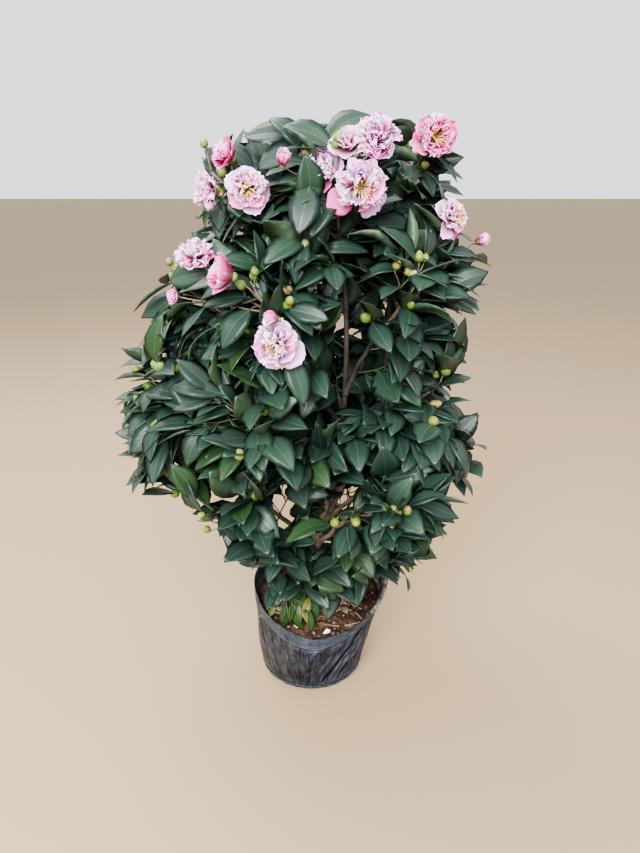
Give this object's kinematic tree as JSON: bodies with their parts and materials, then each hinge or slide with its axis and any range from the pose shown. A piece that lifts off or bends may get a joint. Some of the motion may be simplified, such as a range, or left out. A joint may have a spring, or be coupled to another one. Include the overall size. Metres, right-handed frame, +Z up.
{
  "type": "potted camellia shrub",
  "caption": "Camellia shrub in flower, in a soft black plastic grow bag: slim leaning trunk, spreading boughs, glossy leaves, buds and double pink flowers.",
  "frame": {"origin": "centre of the flat underside of the grow bag", "axes": "+Z up, -Y towards the front that the picture shows, +X to its right"},
  "size_m": [0.72, 0.6816, 1.1551],
  "materials": {
    "pot": "creased black film with a dusty bloom",
    "soil": "damp crumbly potting soil",
    "bark": "thin beige-brown bark, finely cracked",
    "leaves": "glossy dark green leaves with pale midribs",
    "petals": "soft pale pink petals, deeper pink towards the base"
  },
  "bodies": {
    "root": {"pot": "pot", "soil": "soil", "trunk": "bark", "left_leader": "bark", "bough_low_1": "bark", "bough_low_2": "bark", "bough_low_3": "bark", "bough_low_4": "bark", "bough_low_5": "bark", "bough_low_6": "bark", "bough_middle_1": "bark", "bough_middle_2": "bark", "bough_middle_3": "bark", "bough_middle_4": "bark", "bough_middle_5": "bark", "bough_skirt_1": "bark", "bough_skirt_2": "bark", "bough_skirt_3": "bark", "bough_skirt_4": "bark", "bough_top_3": "bark", "bough_top_4": "bark", "bough_upper_1": "bark", "bough_upper_2": "bark", "bough_upper_3": "bark", "bough_upper_4": "bark", "bough_upper_5": "bark", "foliage_basal": "leaves", "foliage_low_1": "leaves", "foliage_low_2": "leaves", "foliage_low_3": "leaves", "foliage_low_4": "leaves", "foliage_low_5": "leaves", "foliage_low_6": "leaves", "foliage_middle_1": "leaves", "foliage_middle_2": "leaves", "foliage_middle_3": "leaves", "foliage_middle_4": "leaves", "foliage_middle_5": "leaves", "foliage_skirt_1": "leaves", "foliage_skirt_2": "leaves", "foliage_skirt_3": "leaves", "foliage_skirt_4": "leaves", "foliage_top_1": "leaves", "foliage_top_2": "leaves", "foliage_top_3": "leaves", "foliage_top_4": "leaves", "foliage_upper_1": "leaves", "foliage_upper_2": "leaves", "foliage_upper_3": "leaves", "foliage_upper_4": "leaves", "foliage_upper_5": "leaves"}
  },
  "joints": []
}
